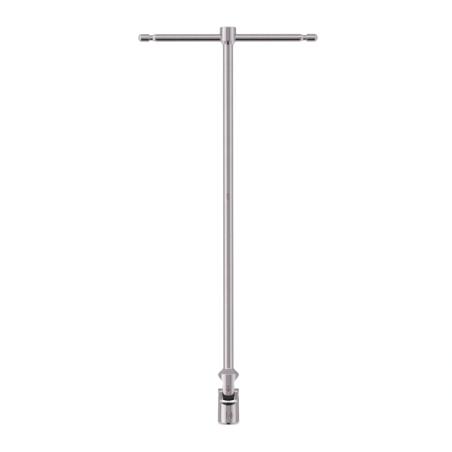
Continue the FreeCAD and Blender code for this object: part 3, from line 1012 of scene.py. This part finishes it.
def wrapped_text(
    name: str, words: str, height: float, middle: float, radius: float, bold: float, upright: bool
) -> bpy.types.Object:
    """Characters of plain type laid into the front of a round surface.

    Args:
        name: the piece's name.
        words: what it says.
        height: height of the characters in mm.
        middle: height of their middle above the socket's mouth, in mm.
        radius: radius of the surface in metres.
        bold: how much the strokes are thickened on each side, in mm.
        upright: False lays the words along the surface's own axis.

    Returns:
        The new object, a thin inlay that stands a few hundredths of a millimetre proud.
    """
    text = bpy.data.curves.new(name, "FONT")
    text.body = words
    text.size = height / CAPITAL_SHARE * MM
    text.align_x = "CENTER"
    text.align_y = "CENTER"
    text.offset = bold * MM
    text.extrude = MARK_RISE * MM
    text.resolution_u = 6
    holder = new_piece(name + "_type", text)
    mesh = bpy.data.meshes.new_from_object(holder.evaluated_get(bpy.context.evaluated_depsgraph_get()))
    bpy.data.objects.remove(holder)
    grid = bmesh.new()
    grid.from_mesh(mesh)
    bmesh.ops.remove_doubles(grid, verts=grid.verts, dist=1e-6)
    too_long = [edge for edge in grid.edges if edge.calc_length() > 0.5 * MM]  # wouldn't follow the round
    bmesh.ops.subdivide_edges(grid, edges=too_long, cuts=4, use_grid_fill=True)
    bmesh.ops.triangulate(grid, faces=grid.faces)
    for vertex in grid.verts:
        x, y, lift = vertex.co
        if not upright:
            x, y = -y, x
        angle = x / radius
        away = radius + lift
        vertex.co = (away * math.sin(angle), -away * math.cos(angle), middle * MM + y)
    bmesh.ops.recalc_face_normals(grid, faces=grid.faces)
    grid.to_mesh(mesh)
    grid.free()
    return new_piece(name, mesh)


@dataclass
class JointBlock:
    """Block between the forks, bored crosswise at two heights.  Millimetres."""

    width: float = 11.8
    reach: float = 6.9
    edge_reach: float = 5.9
    crown_flat: float = 3.0
    crown_round: float = 8.0
    shoulder_round: float = 1.3
    hole_diameter: float = 5.3
    edge_width: float = 0.3

    def build(self, finishes: Finishes) -> None:
        """Makes the block."""
        lower, upper = axis_point(middle_of("socket_pin").z), axis_point(middle_of("yoke_pin").z)
        low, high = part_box("joint_block")
        half, length = self.width / 2, (high[2] - low[2]) / MM
        square = [(-half, -half), (half, -half), (half, half), (-half, half)]
        block = prism("joint_block_black", square, middle_of("joint_block"), Axis.Z, length)
        wide, deep, start = half + 1, self.reach + 4, self.edge_reach / 2  # the cutter, clear of the block
        brim, flat = half + 0.01, self.crown_flat / 2  # the brim lies a hair outside the block's flats
        section = softened([
            (-wide, start, 0), (-brim, start, 0), (-brim, self.edge_reach, self.shoulder_round),
            (-flat, self.reach, self.crown_round), (flat, self.reach, self.crown_round),
            (brim, self.edge_reach, self.shoulder_round), (brim, start, 0), (wide, start, 0),
        ]) + [(wide, deep), (-wide, deep)]
        down = Matrix.Rotation(math.pi, 4, "X")
        turned_over = Matrix.Rotation(math.pi / 2, 4, "Z")
        carve(block, swept("lower_crown_cutter", section, lower, down, 180))
        carve(block, swept("upper_crown_cutter", section, upper, turned_over, 180))
        hole = self.hole_diameter / 2
        tube = through_drill(hole, DRILL_REACH)
        carve(block, turned("lower_hole_cutter", tube, lower, Axis.X, 60))
        carve(block, turned("upper_hole_cutter", tube, upper, Axis.Y, 60))
        break_edges(block, self.edge_width)
        smooth(block)
        fit(block, Body.BLOCK, "joint_block", finishes.black)


@dataclass
class CrossPins:
    """The two rivet pins of the joint, their ends slightly domed by the press.  Millimetres."""

    diameter: float = 5.2
    edge: float = 0.3
    dome: float = 0.2

    def build(self, finishes: Finishes) -> None:
        """Makes both pins."""
        for name, node, axis, body in (
            ("upper_pin", "yoke_pin", Axis.Y, Body.HANDLE),
            ("lower_pin", "socket_pin", Axis.X, Body.DRIVE),
        ):
            low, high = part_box(node)
            end = max(b - a for a, b in zip(low, high)) / 2 / MM
            radius = self.diameter / 2
            flat = radius - self.edge
            sphere = (flat**2 + self.dome**2) / (2 * self.dome)
            swing = math.degrees(math.asin(flat / sphere))
            cap = arc((0, end - sphere), sphere, 90 - swing, 90, 8)
            half = [(radius, end - self.dome - self.edge)] + cap
            whole = [(r, -z) for r, z in reversed(half)] + half
            pin = turned(name, whole, middle_of(node), axis, 64)
            smooth(pin, 40)
            fit(pin, body, node, finishes.pin_steel)


# ---------------------------------------------------------------- the studio


@dataclass(frozen=True)
class Panel:
    """A soft-edged area of the studio, as polished plate sees it.

    Azimuth is in degrees from the camera, positive to its right; elevation is above the horizon.
    """

    name: str
    azimuth: tuple[float, float]
    elevation: tuple[float, float]
    seen: str  # sRGB grey that it leaves in the plate
    edge: float = 6.0  # width of its soft edge in degrees
    both_sides: bool = False


@dataclass
class Studio:
    """White room with a soft light on each side, a pale floor and the camera."""

    room: str = "#A3A1A4"
    plate_share: float = 0.655  # how much light polished plate sends back
    fill: float = 2.0
    paper: float = 0.12  # how much of the fill the floor sends back
    glow: float = 0.8  # light from behind the floor, which leaves next to no shadow
    distance: float = 1.8  # camera to the wrench's axis, in metres
    span: float = 0.4556  # width of the view at the wrench's axis, in metres
    eye_height: float = 0.1993
    aside: float = -0.00225
    roll: float = 0.08  # degrees
    backdrop_white: float = 1.05  # what the camera sees past the wrench
    floor_side: float = 3.0  # half the floor's side, in metres
    floor_gap: float = 0.0002  # metres between the floor and the mouth
    panels: tuple[Panel, ...] = field(default_factory=lambda: (
        Panel("zenith", (-180, 180), (68, 120), "#9E9C9F", 12),
        Panel("back_left", (-200, -128), (-14, 60), "#AEACAF", 10),
        Panel("back_right", (128, 200), (-14, 60), "#979598", 10),
        Panel("back_table", (110, 200), (-70, -12), "#D2D0D2", 10, True),
        Panel("backdrop", (170, 200), (-3, 30), "#F8F6F7", 8, True),
        Panel("below", (-180, 180), (-120, -80), "#908E91", 6),
        Panel("left_light", (-86, -31), (-50, 66), "#DEDBDD", 7),
        Panel("left_core", (-77, -56), (-40, 50), "#F2EEEE", 9),
        Panel("right_light", (36, 91), (-50, 66), "#BAB8BB", 6),
        Panel("right_core", (52, 78), (-40, 50), "#D6D4D8", 12),
        Panel("side_gap", (92, 106), (-50, 60), "#918F93", 6, True),
        Panel("front_top", (-40, 40), (17, 38), "#EEEAEE", 9),
        Panel("front_wall", (-30, 32), (-18, 12), "#939194", 6),
        Panel("wall_edge", (18, 30), (-18, 12), "#7B797C", 6),
        Panel("front_low", (-34, 34), (-48, -22), "#5E5C60", 12),
        Panel("dark_card", (-27, 27), (-86, -42), "#141418", 4),
        Panel("dark_sill", (-44, 44), (-84, -62), "#141418", 4),
    ))

    def level(self, seen: str) -> tuple[float, float, float, float]:
        """Light that leaves the given grey in polished plate."""
        return (*(channel / self.plate_share for channel in linear(seen)), 1)

    def light_the_world(self) -> None:
        """Builds the studio as the world's light: white to the camera, panels to polished plate."""
        world = bpy.data.worlds.new("white_studio")
        bpy.context.scene.world = world
        world.use_nodes = True
        tree = world.node_tree
        tree.nodes.clear()
        toward = put(tree, "ShaderNodeTexCoord").outputs["Generated"]
        parts = put(tree, "ShaderNodeSeparateXYZ", {"Vector": toward}).outputs
        ahead = put(tree, "ShaderNodeMath", {0: parts["Y"], 1: -1.0}, operation="MULTIPLY").outputs[0]
        turn = put(tree, "ShaderNodeMath", {0: parts["X"], 1: ahead}, operation="ARCTAN2").outputs[0]
        rise = put(tree, "ShaderNodeMath", {0: parts["Z"]}, operation="ARCSINE").outputs[0]
        radian = math.degrees(1)
        azimuth = put(tree, "ShaderNodeMath", {0: turn, 1: radian}, operation="MULTIPLY").outputs[0]
        elevation = put(tree, "ShaderNodeMath", {0: rise, 1: radian}, operation="MULTIPLY").outputs[0]
        width = put(tree, "ShaderNodeMath", {0: azimuth}, operation="ABSOLUTE").outputs[0]
        colour: object = self.level(self.room)
        for panel in self.panels:
            blur = panel.edge / 2
            share: object = None
            for value, (low, high) in (
                (width if panel.both_sides else azimuth, panel.azimuth),
                (elevation, panel.elevation),
            ):
                middle, reach = (low + high) / 2, (high - low) / 2
                away = put(tree, "ShaderNodeMath", {0: value, 1: middle}, operation="SUBTRACT").outputs[0]
                distance = put(tree, "ShaderNodeMath", {0: away}, operation="ABSOLUTE").outputs[0]
                inside = put(
                    tree, "ShaderNodeMapRange",
                    {"Value": distance, "From Min": reach + blur, "From Max": reach - blur},
                    interpolation_type="SMOOTHSTEP",
                ).outputs[0]
                share = inside if share is None else put(
                    tree, "ShaderNodeMath", {0: share, 1: inside}, operation="MULTIPLY"
                ).outputs[0]
            colour = put(
                tree, "ShaderNodeMix", {"Factor": share, "A": colour, "B": self.level(panel.seen)},
                data_type="RGBA", name=panel.name,
            ).outputs["Result"]
        path = put(tree, "ShaderNodeLightPath").outputs
        studio = put(tree, "ShaderNodeBackground", {"Color": colour}).outputs[0]
        soft = put(tree, "ShaderNodeBackground", {"Color": (1, 1, 1, 1), "Strength": self.fill}).outputs[0]
        white = put(
            tree, "ShaderNodeBackground", {"Color": (1, 1, 1, 1), "Strength": self.backdrop_white}
        ).outputs[0]
        lit = put(tree, "ShaderNodeMixShader", {0: path["Is Glossy Ray"], 1: soft, 2: studio}).outputs[0]
        shown = put(tree, "ShaderNodeMixShader", {0: path["Is Camera Ray"], 1: lit, 2: white}).outputs[0]
        put(tree, "ShaderNodeOutputWorld", {"Surface": shown})

    def lay_floor(self) -> None:
        """A plain white floor under the wrench, left out of its mirror finish."""
        side = self.floor_side
        square = ((-side, -side), (side, -side), (side, side), (-side, side))
        corners = [Vector((x, y, -self.floor_gap)) for x, y in square]
        floor = new_piece("studio_floor", mesh_from("studio_floor", corners, [(0, 1, 2, 3)]))
        material, _, shader = blank_material("white_paper_floor")
        shader.inputs["Base Color"].default_value = (*[self.paper] * 3, 1)
        shader.inputs["Roughness"].default_value = 1.0
        shader.inputs["Specular IOR Level"].default_value = 0.0
        shader.inputs["Emission Color"].default_value = (1, 1, 1, 1)
        shader.inputs["Emission Strength"].default_value = self.glow
        floor.data.materials.append(material)
        floor.visible_glossy = False

    def set_camera(self) -> None:
        """Level camera at half the wrench's height."""
        camera = bpy.data.objects.new("camera", bpy.data.cameras.new("camera"))
        bpy.context.scene.collection.objects.link(camera)
        camera.data.lens = camera.data.sensor_width * self.distance / self.span
        camera.location = (self.aside, -self.distance, self.eye_height)
        camera.rotation_euler = (math.radians(90), math.radians(self.roll), 0)
        bpy.context.scene.camera = camera

    def build(self) -> None:
        """Sets up light, floor and camera."""
        bpy.context.scene.view_settings.view_transform = "Standard"
        self.light_the_world()
        self.lay_floor()
        self.set_camera()


def write_sizes() -> None:
    """Brings the view layer up to date."""
    bpy.context.view_layer.update()


def main() -> None:
    """Builds the wrench and its studio."""
    logging.basicConfig(level=logging.INFO, format="%(name)s: %(message)s")
    Studio().build()
    finishes = Finishes()
    for assembly in (CrossBar(), Head(), Shank(), UpperFork(), JointBlock(), CrossPins(), SocketFork()):
        assembly.build(finishes)
    write_sizes()


if __name__ == "__main__":
    main()
